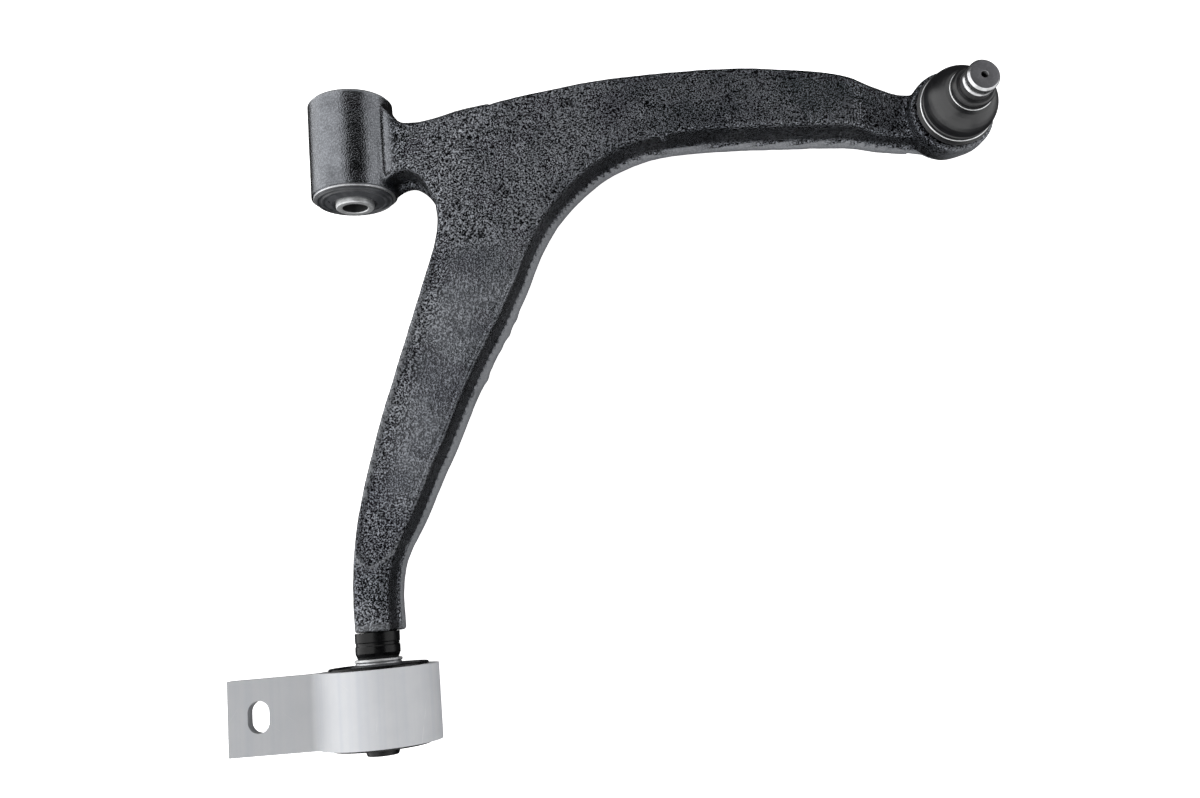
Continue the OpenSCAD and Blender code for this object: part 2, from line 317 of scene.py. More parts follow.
ID = Matrix.Identity(4)
JL = Matrix.Translation(Vector((346, -23, 3)) * MM) @ Matrix.Rotation(LEAN, 4, "Y")
parts = []
v, f = loft(BEAM, 3)
parts.append((v, f, ID))
v, f = loft(NECK, 4)
parts.append((v, f, ID))
v, f = turned([(0, -31), (25, -31), (25, 31), (0, 31)], 128)
parts.append((v, f, M_Y))
v, f = turned([(0, -15), (18.6, -15), (20.2, -13.6), (23.7, -1), (24.1, 1), (24.1, 8.0), (23, 9.4), (0, 9.4)], 128)
parts.append((v, f, JL))
# core print pad on the neck
v, f = box_part((-9.5, -7.5, -6), (9.5, 7.0, 2.4), 1.2)
parts.append((v, f, Matrix.Translation(Vector((301.5, -9.5, 8)) * MM) @ Matrix.Rotation(math.radians(-8), 4, "Z")))
# gate witness on the inner edge of the beam
v, f = turned([(0, -2.2), (1.7, -1.4), (2.1, 0), (1.7, 1.4), (0, 2.2)], 20)
parts.append((v, f, Matrix.Translation(Vector((184.5, -19.6, 11.6)) * MM)))

arm = solid_from("casting", parts)
VOX = 1.0
m = arm.modifiers.new("vox", "REMESH")
m.mode = "VOXEL"
m.voxel_size = VOX * MM
m.adaptivity = 0.0
m2 = arm.modifiers.new("soft", "SMOOTH")
m2.factor = 0.5
m2.iterations = 4
apply_mods(arm)

# edge distances for the shallow panel, the ridge and the flash
LEFT = [Vector(s[0:2]) for s in catmull([list(s) for s in BEAM], 3)]
RIGHT = [Vector(s[2:4]) for s in catmull([list(s) for s in BEAM], 3)]


def seg_tools(line):
    out = []
    for a, b in zip(line, line[1:]):
        d = b - a
        out.append((a, d, d.length_squared))
    return out


SL, SR = seg_tools(LEFT), seg_tools(RIGHT)


def dist(p, segs, hint, span=14):
    best, at = 1e9, hint
    lo, hi = (0, len(segs)) if hint is None else (max(0, hint - span), min(len(segs), hint + span))
    for i in range(lo, hi):
        a, d, l2 = segs[i]
        t = max(0.0, min(1.0, (p - a).dot(d) / l2)) if l2 > 0 else 0.0
        q = (p - a - d * t).length
        if q < best:
            best, at = q, i + t
    return best, at


def noise3(p, s, seed=0.0):
    return noise.noise(Vector((p[0] * s + seed, p[1] * s + seed * 1.7, p[2] * s - seed)))


def panel(co, dl, dr):
    """Distance inside the panel's outline, negative outside it."""
    half = max(0.5, (dl + dr - 9.8) / 2)
    off = abs(dl - 5.6 - half)
    t = max(0.0, min(1.0, (-233.0 - co.y) / 12.0))
    if co.y < -245.0:
        return -max(off, -245.0 - co.y)
    return half * math.sqrt(max(0.0, 1.0 - t * t)) - off


def shape_casting(o):
    me = o.data
    nrm = [v.normal.copy() for v in me.vertices]
    cells = {}
    for v in me.vertices:
        key = (int(v.co.x * 500), int(v.co.y * 500))
        cells.setdefault(key, []).append(v.index)
    info = {}
    for key in cells:
        p = Vector(((key[0] + 0.5) * 2.0, (key[1] + 0.5) * 2.0))
        dl, al = dist(p, SL, None)
        dr, ar = dist(p, SR, None)
        info[key] = (al, ar)
    for key, ids in cells.items():
        al, ar = info[key]
        hl, hr = int(al), int(ar)
        for i in ids:
            v = me.vertices[i]
            co = v.co * 1000.0
            n = nrm[i]
            p = Vector((co.x, co.y))
            eye = sstep(30.0, 24.0, co.x) * sstep(-34.0, -30.0, co.y)
            dl, _ = dist(p, SL, hl, 4)
            dr, _ = dist(p, SR, hr, 4)
            move = 0.0
            top = sstep(0.55, 0.9, n.z) * sstep(6.0, 9.0, co.z)
            # shallow panel in the top of the rear leg, rounded end at the rear
            if top > 0 and co.y < -40:
                d_in = panel(co, dl, dr)
                fade = sstep(-45.0, -105.0, co.y)
                move -= 1.3 * sstep(0.0, 1.8, d_in) * fade * top
                move += 0.45 * math.exp(-((d_in + 0.9) / 0.8) ** 2) * fade * top
            # faint crown bead along the inner edge of the beam
            if top > 0 and co.x > 90 and co.x < 292:
                move += 0.35 * top * math.exp(-((dr - 5.2) / 1.1) ** 2) * sstep(90, 120, co.x)
            # casting waviness
            k = 0.35 if eye > 0.5 else 1.0
            move += k * (0.22 * noise3(co, 0.055, 1.0) + 0.13 * noise3(co, 0.16, 7.0) + 0.07 * noise3(co, 0.38, 5.0))
            # flash left on the inner lower edge of the leg
            if co.z < -3 and dr < 2.5 and -172 < co.y < -98:
                a = max(0.0, noise3(co * 1.0, 0.14, 11.0)) * sstep(-98, -112, co.y) * sstep(-172, -155, co.y)
                move += 1.5 * a * sstep(0.3, 0.9, abs(n.x) + abs(n.y) * 0.5)
            v.co = v.co + n * (move * MM)
    me.update()


JLI = JL.inverted()


def mark_casting(o):
    """Where the cast skin is coarse, where it is dressed (the eye's chamfer, the rear end) and where it is painted
    lighter: painted highlight on the lower strip and the panel ridge, painted reflection on the housing bowl and the
    leg's left edge.
    """
    me = o.data
    me.update()
    nrm = [v.normal.copy() for v in me.vertices]
    grain_and_sheen = [0.0] * len(me.vertices)
    dressed_and_highlight = [0.0] * len(me.vertices)
    eyes = [0.0] * len(me.vertices)
    cells = {}
    for v in me.vertices:
        cells.setdefault((int(v.co.x * 500), int(v.co.y * 500)), []).append(v.index)
    for key, ids in cells.items():
        p = Vector(((key[0] + 0.5) * 2.0, (key[1] + 0.5) * 2.0))
        dl, _ = dist(p, SL, None)
        dr, _ = dist(p, SR, None)
        for i in ids:
            co = me.vertices[i].co * 1000.0
            eye = sstep(30.0, 24.0, co.x) * sstep(-34.0, -30.0, co.y)
            leg = sstep(-60, -90, co.y) * sstep(-225, -195, co.y)
            eyes[i] = eye
            # painted highlight: the sloping lower strip along the inner edge is marked to be coloured lighter
            dressed_and_highlight[i] = sstep(0.97, 0.85, abs(nrm[i].z)) * sstep(-5.6, -6.6, co.z) * sstep(4.2, 3.2, dr)
            rad = math.hypot(co.x, co.z)
            dressed_and_highlight[i] = max(dressed_and_highlight[i], sstep(27.3, 27.6, co.y) * sstep(22.8, 23.2, rad) * sstep(26.5, 25.6, rad))
            q = JLI @ me.vertices[i].co
            qr = math.hypot(q.x, q.y) * 1000.0
            if qr < 30 and qr > 21.5:
                # painted reflection: the lower front side of the housing bowl is marked lighter, standing in for the
                # floor reflected in it
                dressed_and_highlight[i] = max(dressed_and_highlight[i], 0.75 * sstep(10.5, 7.0, q.z * 1000.0) * sstep(0.35, -0.25, q.y / (qr * MM)) * sstep(-0.6, 0.2, q.x / (qr * MM)))
            # painted highlight: a thin light line along the ridge round the leg's panel
            if co.y < -70 and nrm[i].z > 0.4 and co.z > 6:
                d_in = panel(co, dl, dr)
                dressed_and_highlight[i] = max(dressed_and_highlight[i], 0.85 * math.exp(-((d_in + 0.7) / 0.8) ** 2) * sstep(-70.0, -120.0, co.y))
            # painted reflection: a light band along the leg's left edge, standing in for the floor reflected at the
            # grazing edge
            if co.y < -40 and dl < 3.0 and co.z > 4:
                dressed_and_highlight[i] = max(dressed_and_highlight[i], 0.50 * sstep(3.0, 1.0, dl) * sstep(-40.0, -70.0, co.y) * sstep(-250.0, -235.0, co.y))
            if co.y < -276.0:
                dressed_and_highlight[i] = max(dressed_and_highlight[i], 0.35 * sstep(-276.0, -277.5, co.y) * sstep(0.2, 0.5, nrm[i].z))
            # weaker grain on the eye (its smoother skin) and in the middle of the leg; weak grain also makes the colour
            # lighter in the material, a painted sheen there
            g = 1.0 - 0.84 * eye
            g *= 1.0 - 0.45 * leg * sstep(8.0, 22.0, dl)
            g *= 1.0 - 0.45 * dressed_and_highlight[i]
            grain_and_sheen[i] = max(0.0, g)
    for name, vals in (("grain_and_sheen", grain_and_sheen), ("dressed_and_highlight", dressed_and_highlight), ("eye", eyes)):
        at = me.attributes.new(name, "FLOAT", "POINT")
        at.data.foreach_set("value", vals)
    me.update()


shape_casting(arm)


def cutter(prof, M, seg=144):
    v, f = turned(prof, seg)
    return solid_from("cutter", [(v, f, M)])


# machined ends of the eye, bores, rear face
cut(arm, cutter([(0, 29), (60, 29), (60, 45), (0, 45)], M_Y))
cut(arm, lathe("cutter", [(23.4, 29.3, 0), (27.5, 25.2, 0), (27.5, 29.3, 0)], M_Y, rad=0))
cut(arm, cutter([(0, -45), (27.5, -45), (27.5, -29), (0, -29)], M_Y))
cut(arm, cutter([(0, -50), (21.02, -50), (21.02, 50), (0, 50)], M_Y))
cut(arm, cutter([(0, -40), (16.62, -40), (16.62, 40), (0, 40)], JL))
cut(arm, cutter([(0, 9.3), (40, 9.3), (40, 40), (0, 40)], JL))
cut(arm, cutter([(0, -40), (24.6, -40), (24.6, -15), (0, -15)], JL))
cut(arm, cutter([(0, -22), (18.4, -22), (18.4, -15.1), (0, -15.1)], JL))
cut(arm, cutter([(0, 0), (7.02, 0), (7.02, 40), (0, 40)], Matrix.Translation(Vector((0, -290, 0)) * MM) @ M_Y))
smooth(arm, 40)
mark_casting(arm)
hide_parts("arm_body")
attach(arm, "arm")

# ---------------------------------------------------------------- front bush
ER, EH = 25.0, 29.0
fsl = lathe("front_outer_sleeve", [(19.5, -29.2), (20.1, -30.2), (23.5, -30.2), (23.8, -29.9), (23.8, -29.0),
                                   (21.0, -29.0), (21.0, 27.8), (20.4, 28.4), (19.5, 28.4)], M_Y, rad=0.15)
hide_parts("front_bush_outer_sleeve"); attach(fsl, "arm")
frb = lathe("front_rubber", [(19.5, -29.2), (20.1, -30.2), (22.2, -30.2), (22.4, -31.2, .4), (21.6, -31.9, .5), (20.8, -31.0, .3),
                             (19.9, -31.1, .3), (19.2, -32.1, .5), (18.2, -32.2, .4), (17.5, -31.6, .3), (13.7, -33.2, .6),
                             (12.9, -33.0, .3), (12.45, -31.4, .3), (11.25, -31.0), (11.25, 31.0), (12.65, 30.6, .4),
                             (16.5, 26.5, .8), (19.5, 27.4, .3)], M_Y, rad=0.2)
for a in (45, 120, 210):
    t = math.radians(a)
    Mc = Matrix.Rotation(t, 4, "Y") @ Matrix.Translation(Vector((14.85, -31.4, 0)) * MM) @ Matrix.Rotation(math.radians(90), 4, "X")
    cut(frb, cutter([(0, 0), (0.75, 0.15), (0.95, 0.6), (1.05, 5), (0, 5)], Mc, 32))
smooth(frb)
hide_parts("front_bush_rubber"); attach(frb, "arm")
fin = lathe("front_inner_sleeve", [(7.2, -34.9), (7.8, -35.5), (10.6, -35.5), (11.2, -34.9), (11.2, 34.9),
                                   (10.6, 35.5), (7.8, 35.5), (7.2, 34.9)], M_Y, rad=0.12)
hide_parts("front_bush_inner_sleeve"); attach(fin, "front_sleeve")

# ---------------------------------------------------------------- rear bush and pin
pin = lathe("rear_pin_turned", [(0, -346), (8.4, -346, .5), (10.0, -341.5, .8), (10.0, -295.2), (11.0, -295.2, .5), (12.2, -292.0, .5),
                                (12.2, -288.4, .2), (11.8, -287.9, .1), (11.8, -286.6, .1), (12.2, -286.1, .2), (12.2, -281.0),
                                (7.0, -281.0), (7.0, -252), (6.0, -250), (0, -250)], M_Y, rad=0.2)
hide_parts("rear_pin"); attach(pin, "arm")
wsh = lathe("thrust_washer", [(10.0, -295.2), (12.6, -295.2), (13.0, -295.6), (13.0, -296.4), (12.6, -296.8), (10.0, -296.8)], M_Y, rad=0.15)
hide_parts("rear_thrust_washer"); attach(wsh, "arm")
ris = lathe("rear_inner_sleeve", [(10.0, -22.6), (10.4, -23), (12.0, -23), (12.5, -22.5), (12.5, 22.7), (12.0, 23.2), (10.0, 23.2)], M_REAR, rad=0.15)
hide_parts("rear_bush_inner_sleeve"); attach(ris, "arm")
ros = lathe("rear_outer_sleeve", [(25.2, -21.5), (26.4, -21.5), (27.0, -20.7), (27.0, 21.0), (26.5, 21.5), (25.7, 21.5), (25.2, 21.0)], M_REAR, rad=0.2)
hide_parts("rear_bush_outer_sleeve"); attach(ros, "rear_mount")
rrb = lathe("rear_rubber", [(12.55, -22), (13.4, -22.4, .4), (14.6, -21.6, .6), (16.0, -18.5, 1), (21, -18.5, 1), (24.4, -20.4, .6),
                            (25.2, -20.4), (25.2, 19.8), (24.6, 20.3, .3), (23.6, 20.2, .5), (21.0, 18.0, 1), (16.4, 18.0, 1),
                            (14.8, 21.2, .6), (13.6, 22.0, .4), (12.55, 22.2)], M_REAR, rad=0.2)


def kidney(side):
    r0, r1, a0, n = 15.4, 23.2, 38, 18
    pts = []
    for i in range(n + 1):
        a = math.radians(-a0 + 2 * a0 * i / n)
        pts.append((r1 * math.cos(a), r1 * math.sin(a)))
    for i in range(1, 8):
        a = math.radians(a0)
        c = ((r0 + r1) / 2 * math.cos(a), (r0 + r1) / 2 * math.sin(a))
        b = a + math.pi * i / 8
        pts.append((c[0] + (r1 - r0) / 2 * math.cos(b), c[1] + (r1 - r0) / 2 * math.sin(b)))
    for i in range(n + 1):
        a = math.radians(a0 - 2 * a0 * i / n)
        pts.append((r0 * math.cos(a), r0 * math.sin(a)))
    for i in range(1, 8):
        a = math.radians(-a0)
        c = ((r0 + r1) / 2 * math.cos(a), (r0 + r1) / 2 * math.sin(a))
        b = a + math.pi + math.pi * i / 8
        pts.append((c[0] + (r1 - r0) / 2 * math.cos(b), c[1] + (r1 - r0) / 2 * math.sin(b)))
    n = len(pts)
    verts = [(side * x, y, -40) for x, y in pts] + [(side * x, y, 40) for x, y in pts]
    faces = [tuple(range(n)), tuple(range(n, 2 * n))]
    faces += [(i, (i + 1) % n, n + (i + 1) % n, n + i) for i in range(n)]
    return solid_from("cutter", [(verts, faces, M_REAR)])


cut(rrb, kidney(1))
cut(rrb, kidney(-1))
smooth(rrb)
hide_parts("rear_bush_rubber"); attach(rrb, "rear_mount")


# ---------------------------------------------------------------- bracket
def bracket():
    R, f, top, wt, reach = 32.5, 8.0, 13.5, 7.0, 80.0
    lo = top - wt
    up, dn = top + f, lo - f
    xu = math.sqrt((R + f) ** 2 - up ** 2)
    xl = math.sqrt((R + f) ** 2 - dn ** 2)
    au = math.degrees(math.atan2(up, xu))
    al = math.degrees(math.atan2(-dn, xl))
    pts = [(-reach, lo), (-reach, top)]
    for i in range(15):
        a = math.radians(-90 + (90 - au) * i / 14)
        pts.append((-xu + f * math.cos(a), up + f * math.sin(a)))
    a0 = math.atan2(up * R / (R + f), -xu * R / (R + f))
    a1 = math.atan2(dn * R / (R + f), -xl * R / (R + f)) + 2 * math.pi
    if a1 > a0:
        a1 -= 2 * math.pi
    k = 150
    for i in range(1, k):
        a = a0 + (a1 - a0) * i / k
        pts.append((R * math.cos(a), R * math.sin(a)))
    for i in range(15):
        a = math.radians(al + (90 - al) * i / 14)
        pts.append((-xl + f * math.cos(a), dn + f * math.sin(a)))
    n = len(pts)
    verts = [(x, RY - 20, z) for x, z in pts] + [(x, RY + 20, z) for x, z in pts]
    faces = [tuple(range(n)), tuple(range(n, 2 * n))]
    faces += [(i, (i + 1) % n, n + (i + 1) % n, n + i) for i in range(n)]
    o = solid_from("bracket_extrusion", [(verts, faces, ID)])
    cut(o, cutter([(0, -40), (27.0, -40), (27.0, 40), (0, 40)], M_REAR, 160))
    sl = []
    for i in range(25):
        a = math.pi * i / 24
        sl.append((6 * math.cos(a), 2.5 + 6 * math.sin(a)))
    for i in range(25):
        a = math.pi + math.pi * i / 24
        sl.append((6 * math.cos(a), -2.5 + 6 * math.sin(a)))
    m = len(sl)
    sv = [(-63 + x, RY + y, 0) for x, y in sl] + [(-63 + x, RY + y, 25) for x, y in sl]
    sf = [tuple(range(m)), tuple(range(m, 2 * m))] + [(i, (i + 1) % m, m + (i + 1) % m, m + i) for i in range(m)]
    cut(o, solid_from("cutter", [(sv, sf, ID)]))
    b = o.modifiers.new("edge", "BEVEL")
    b.width = 0.3 * MM
    b.segments = 2
    b.limit_method = "ANGLE"
    b.angle_limit = math.radians(40)
    apply_mods(o)
    smooth(o, 16)
    return o


brk = bracket()
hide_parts("rear_bracket"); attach(brk, "rear_mount")

# ---------------------------------------------------------------- ball joint
hsg = lathe("cartridge", [(14.3, -15.6), (14.3, 8.4), (11.4, 8.4), (14.4, 15.3), (17.4, 15.3, .4), (18.0, 14.7, .3), (18.0, 11.0),
                          (20.5, 11.0, .3), (20.5, 9.5, .2), (20.3, 9.3, .1), (16.6, 9.3), (16.6, -15.4), (16.0, -15.4), (16.0, -16.8),
                          (16.6, -16.8), (16.6, -17.6), (16.2, -18.0), (13.2, -18.0), (13.2, -15.6)], M_BALL, rad=0.1)
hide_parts("ball_joint_housing"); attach(hsg, "arm")

ball = []
for i in range(33):
    a = math.radians(-70 + (70 + 55.6) * i / 32)
    ball.append((11.5 * math.cos(a), 11.5 * math.sin(a), 0))
groove = []
for i in range(13):
    z = 44.5 + (49.5 - 44.5) * i / 12
    groove.append((9 + 3.1 - math.sqrt(max(0.0, 16 - (z - 47) ** 2)), z, 0))
stud = lathe("stud_turned", [(0, -10.8)] + ball + [(6.5, 9.5, 1.2), (6.5, 18.0, 2), (7.1, 19.6, 1), (8.2, 24.0, 1), (8.8, 25.2, .4),
             (8.8, 40.2, .05), (9.0, 40.2, .05), (9.0, 44.2, .1)] + groove + [(9.0, 49.8, .1), (9.0, 50.5, .35), (7.9, 51.97, .25),
             (2.1, 52.0, .1), (1.1, 50.6, .1), (1.1, 48.5), (0, 48.0)], M_BALL, seg=160, rad=0.1)
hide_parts("ball_stud"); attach(stud, "stud")

OUT = [(18.3, 11.3, .2), (21.9, 11.3, .3), (22.0, 12.2, .3), (20.2, 13.2, .5), (19.8, 13.7, .2), (19.8, 15.3, .2), (20.7, 15.6, .3),
       (20.7, 17.2, .5), (20.15, 17.8, .3), (20.45, 19.4, 1), (20.35, 21.6, 2), (19.9, 23.6, 2), (18.9, 26, 2), (17.4, 28.4, 2)]
INN = [(16.4, 26.6, 2), (17.8, 23.8, 2), (18.4, 21.2, 2), (18.6, 18.4, 1), (18.6, 15.6, .3), (18.3, 15.3, .2)]
# the boot is one moulding; it is split at one ring of points into two halves
low = lathe("boot_lower", OUT[:11] + [(19.9, 23.6, 0), (17.75, 23.2, 0)] + INN[2:], M_BALL, seg=160, rad=0.2)
top = lathe("boot_upper", [(19.9, 23.6, 0), (19.4, 24.9, 2), (18.9, 26, 2), (17.4, 28.4, 2), (15.6, 30.6, 2), (13.7, 32.5, 2), (11.9, 33.6, .8),
                           (11.2, 34.0, .2), (11.2, 35.0, .2), (12.0, 35.5, .4), (12.0, 37.6, .8), (11.4, 39.2, .8), (10.6, 40.0, .4),
                           (8.95, 40.0, .2), (8.95, 34.4, .2), (10.6, 32.6, 1), (12.6, 31.0, 2), (14.6, 29.0, 2), (16.4, 26.6, 2),
                           (17.75, 23.2, 0)], M_BALL, seg=160, rad=0.2)
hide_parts("boot")
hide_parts("boot")
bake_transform(low)
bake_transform(top)
lr = torus("boot_ring_lower", 20.48, 0.62, 14.5, M_BALL)
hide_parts("boot_lower_ring"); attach(lr, "arm")
ur = torus("boot_ring_upper", 11.8, 0.52, 34.45, M_BALL)
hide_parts("boot_upper_ring"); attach(ur, "boot_top")


# ---------------------------------------------------------------- materials
class Mat:
    def __init__(self, name):
        self.m = bpy.data.materials.new(name)
        self.m.use_nodes = True
        self.t = self.m.node_tree
        self.b = self.t.nodes["Principled BSDF"]
        self.tc = self.n("ShaderNodeTexCoord")

    def n(self, kind, **kw):
        x = self.t.nodes.new(kind)
        for k, v in kw.items():
            setattr(x, k, v)
        return x

    def l(self, a, b):
        self.t.links.new(a, b)

    def set(self, **kw):
        for k, v in kw.items():
            self.b.inputs[k.replace("_", " ")].default_value = v

    def noise(self, scale, detail=2.0, rough=0.5, dist=0.0, vec=None):
        x = self.n("ShaderNodeTexNoise")
        x.inputs["Scale"].default_value = scale
        x.inputs["Detail"].default_value = detail
        x.inputs["Roughness"].default_value = rough
        x.inputs["Distortion"].default_value = dist
        self.l(vec if vec is not None else self.tc.outputs["Object"], x.inputs["Vector"])
        return x.outputs["Fac"]

    def voronoi(self, scale, feature="F1", vec=None, smooth=None):
        x = self.n("ShaderNodeTexVoronoi", feature=feature)
        x.inputs["Scale"].default_value = scale
        if smooth is not None:
            x.inputs["Smoothness"].default_value = smooth
        self.l(vec if vec is not None else self.tc.outputs["Object"], x.inputs["Vector"])
        return x.outputs["Distance"]

    def stretch(self, s):
        x = self.n("ShaderNodeMapping")
        x.inputs["Scale"].default_value = s
        self.l(self.tc.outputs["Object"], x.inputs["Vector"])
        return x.outputs["Vector"]

    def remap(self, v, a, b, c, d, kind="LINEAR"):
        x = self.n("ShaderNodeMapRange", interpolation_type=kind)
        x.inputs["From Min"].default_value = a
        x.inputs["From Max"].default_value = b
        x.inputs["To Min"].default_value = c
        x.inputs["To Max"].default_value = d
        self.l(v, x.inputs["Value"])
        return x.outputs["Result"]

    def math(self, op, a, b=None, c=None):
        x = self.n("ShaderNodeMath", operation=op)
        for i, v in enumerate((a, b, c)):
            if v is None:
                continue
            if isinstance(v, (int, float)):
                x.inputs[i].default_value = v
            else:
                self.l(v, x.inputs[i])
        return x.outputs["Value"]

    def mix(self, f, a, b):
        x = self.n("ShaderNodeMix", data_type="RGBA")
        if isinstance(f, (int, float)):
            x.inputs["Factor"].default_value = f
        else:
            self.l(f, x.inputs["Factor"])
        for i, v in ((6, a), (7, b)):
            if isinstance(v, tuple):
                x.inputs[i].default_value = (*v, 1.0)
            else:
                self.l(v, x.inputs[i])
        return x.outputs[2]

    def attr(self, name):
        x = self.n("ShaderNodeAttribute", attribute_name=name)
        return x.outputs["Fac"]

    def bump(self, h, strength, dist_mm, prev=None):
        x = self.n("ShaderNodeBump")
        x.inputs["Strength"].default_value = strength
        x.inputs["Distance"].default_value = dist_mm * MM
        self.l(h, x.inputs["Height"])
        if prev is not None:
            self.l(prev, x.inputs["Normal"])
        return x.outputs["Normal"]

    def edge(self, radius_mm=0.6, lo=0.52, hi=0.62):
        g = self.n("ShaderNodeNewGeometry")
        return self.remap(g.outputs["Pointiness"], lo, hi, 0.0, 1.0)


def cast_material():
    m = Mat("cast_iron_coated")
    grain_and_sheen = m.attr("grain_and_sheen")
    dressed_and_highlight = m.attr("dressed_and_highlight")
    eye = m.attr("eye")
    coarse = m.noise(1050, 1.5, 0.5, 0.25)
    peel = m.remap(coarse, 0.36, 0.62, 0.0, 1.0)
    fine = m.noise(2100, 2.0, 0.55)
    pits = m.remap(m.voronoi(330), 0.02, 0.30, 0.0, 1.0, "SMOOTHSTEP")
    amp = m.remap(grain_and_sheen, 0.0, 1.0, 0.10, 1.0)
    h = m.math("ADD", m.math("MULTIPLY", peel, 0.8), m.math("MULTIPLY", fine, 0.18))
    h = m.math("ADD", h, m.math("MULTIPLY", pits, 0.30))
    h = m.math("MULTIPLY", h, amp)
    grind = m.noise(1.0, 2.0, 0.6, 0.0, m.stretch((160, 900, 2600)))
    h = m.math("ADD", h, m.math("MULTIPLY", m.math("MULTIPLY", grind, dressed_and_highlight), 0.25))
    n = m.bump(h, 1.0, 0.38)
    broad = m.noise(24, 3.0, 0.6)
    patch = m.noise(85, 3.0, 0.55)
    r = m.math("ADD", m.remap(broad, 0.3, 0.7, 0.20, 0.30), m.remap(patch, 0.3, 0.7, -0.03, 0.05))
    r = m.math("ADD", r, m.math("MULTIPLY", dressed_and_highlight, 0.12))
    r = m.math("SUBTRACT", r, m.math("MULTIPLY", eye, 0.10))
    # painted shade: the valleys and pits of the cast grain get a near-black colour below, standing in for the shade
    # that falls in them; the crests get the lit colour
    crest_vs_valley_shade = m.math("MULTIPLY", m.remap(coarse, 0.42, 0.62, 0.0, 1.0), m.remap(pits, 0.0, 1.0, 0.35, 1.0))
    # where the cast grain is weak the whole skin counts as crest and is coloured lighter; on the middle of the leg and
    # on the eye this is a painted sheen
    crest_vs_valley_shade = m.math("ADD", m.math("MULTIPLY", crest_vs_valley_shade, amp), m.math("MULTIPLY", m.math("SUBTRACT", 1.0, amp), m.remap(patch, 0.3, 0.7, 0.45, 0.75)))
    lit = m.mix(m.remap(broad, 0.35, 0.65, 0.0, 1.0), (0.15, 0.160, 0.180), (0.30, 0.313, 0.34))
    # painted sheen: the crests on the eye get a lighter grey
    lit = m.mix(m.math("MULTIPLY", eye, 0.8), lit, (0.30, 0.312, 0.335))
    col = m.mix(crest_vs_valley_shade, (0.0008, 0.0009, 0.0012), lit)
    # the marked strips go towards light grey and less metallic: painted highlight and painted reflection, besides the
    # dressed chamfer and rear end
    col = m.mix(m.math("MULTIPLY", dressed_and_highlight, 0.6), col, (0.30, 0.31, 0.33))
    m.l(col, m.b.inputs["Base Color"])
    m.l(r, m.b.inputs["Roughness"])
    m.l(n, m.b.inputs["Normal"])
    m.l(m.math("SUBTRACT", 1.0, m.math("MULTIPLY", dressed_and_highlight, 0.9)), m.b.inputs["Metallic"])
    return m.m


def black_steel():
    m = Mat("black_steel")
    lines = m.noise(1.0, 3.0, 0.6, 0.0, m.stretch((60, 2200, 60)))
    mott = m.noise(240, 3.0, 0.6)
    m.l(m.mix(m.remap(mott, 0.35, 0.7, 0, 1), (0.002, 0.0021, 0.0024), (0.006, 0.0062, 0.007)), m.b.inputs["Base Color"])
    m.l(m.remap(mott, 0.3, 0.7, 0.20, 0.36), m.b.inputs["Roughness"])
    h = m.math("ADD", m.math("MULTIPLY", lines, 0.5), m.math("MULTIPLY", mott, 0.6))
    m.l(m.bump(h, 0.5, 0.10), m.b.inputs["Normal"])
    m.set(Metallic=0.0, IOR=1.33)
    return m.m


def rubber():
    m = Mat("rubber_black")
    fine = m.noise(2600, 2.0, 0.6)
    broad = m.noise(75, 3.0, 0.6)
    specks = m.remap(m.voronoi(420), 0.0, 0.10, 1.0, 0.0)
    dust = m.math("MULTIPLY", specks, m.remap(m.noise(140, 2), 0.58, 0.66, 0.0, 0.30))
    col = m.mix(m.remap(broad, 0.3, 0.7, 0, 1), (0.005, 0.0052, 0.0062), (0.009, 0.0094, 0.011))
    col = m.mix(dust, col, (0.16, 0.16, 0.16))
    m.l(col, m.b.inputs["Base Color"])
    m.l(m.remap(broad, 0.3, 0.7, 0.30, 0.38), m.b.inputs["Roughness"])
    m.l(m.bump(m.math("ADD", fine, m.math("MULTIPLY", broad, 1.2)), 0.35, 0.05), m.b.inputs["Normal"])
    m.set(Metallic=0.0, IOR=1.62)
    return m.m


def rubber_grey():
    m = Mat("rubber_grey")
    fine = m.noise(1900, 2.0, 0.6)
    broad = m.noise(120, 3.0, 0.6)
    col = m.mix(m.remap(broad, 0.3, 0.7, 0, 1), (0.030, 0.032, 0.036), (0.085, 0.088, 0.095))
    m.l(col, m.b.inputs["Base Color"])
    m.l(m.remap(broad, 0.3, 0.7, 0.34, 0.50), m.b.inputs["Roughness"])
    m.l(m.bump(m.math("ADD", fine, broad), 0.4, 0.07), m.b.inputs["Normal"])
    m.set(Metallic=0.0, IOR=1.52)
    return m.m


